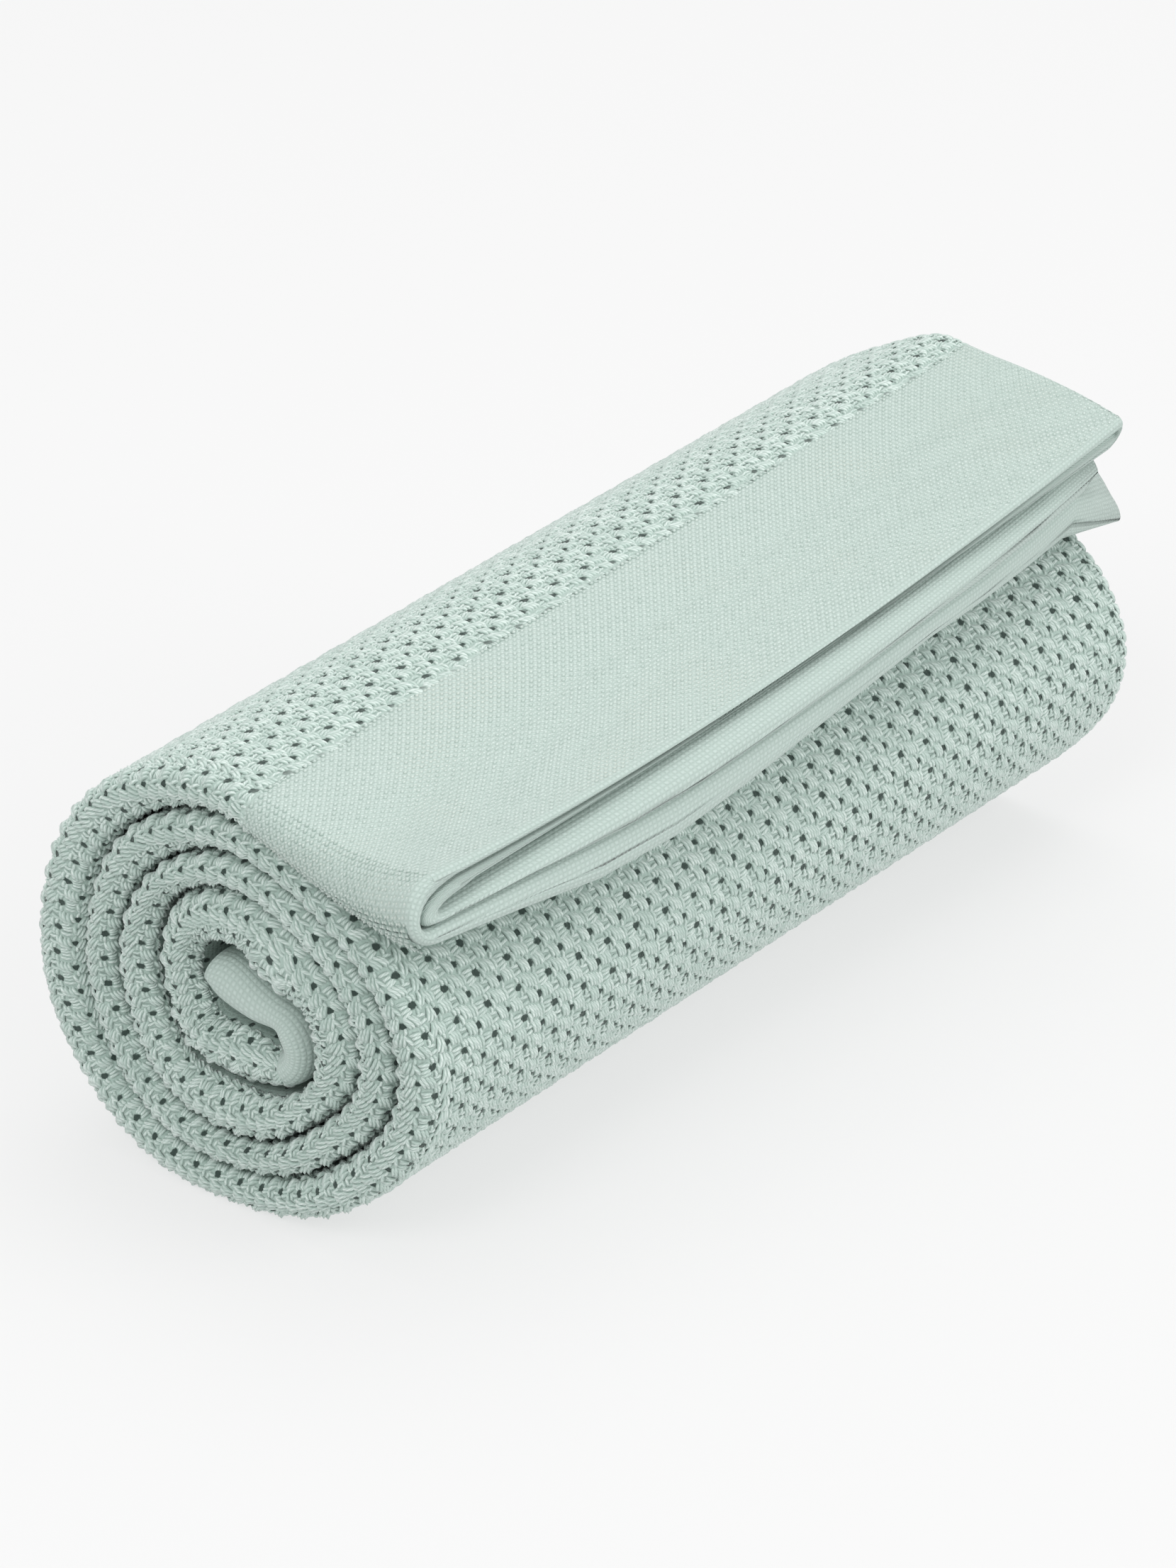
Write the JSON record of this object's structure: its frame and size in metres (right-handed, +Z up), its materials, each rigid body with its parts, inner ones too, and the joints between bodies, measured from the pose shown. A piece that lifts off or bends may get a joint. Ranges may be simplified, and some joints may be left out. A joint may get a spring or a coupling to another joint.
{
  "type": "rolled cellular baby blanket",
  "caption": "Woven cellular cotton baby blanket, folded lengthwise and rolled up, with its plain-woven hemmed end reaching loosely out over the front of the roll.",
  "frame": {"origin": "on the surface it lies on, under the middle of its overall box", "axes": "+X along the roll, with the coiled face at -X; -Y the front, where the loose end reaches out; +Z up"},
  "size_m": [0.2532, 0.1169, 0.1132],
  "materials": {
    "cotton": "matt, slightly fuzzy mint green cotton"
  },
  "bodies": {
    "root": {"blanket": "cotton"}
  },
  "joints": []
}
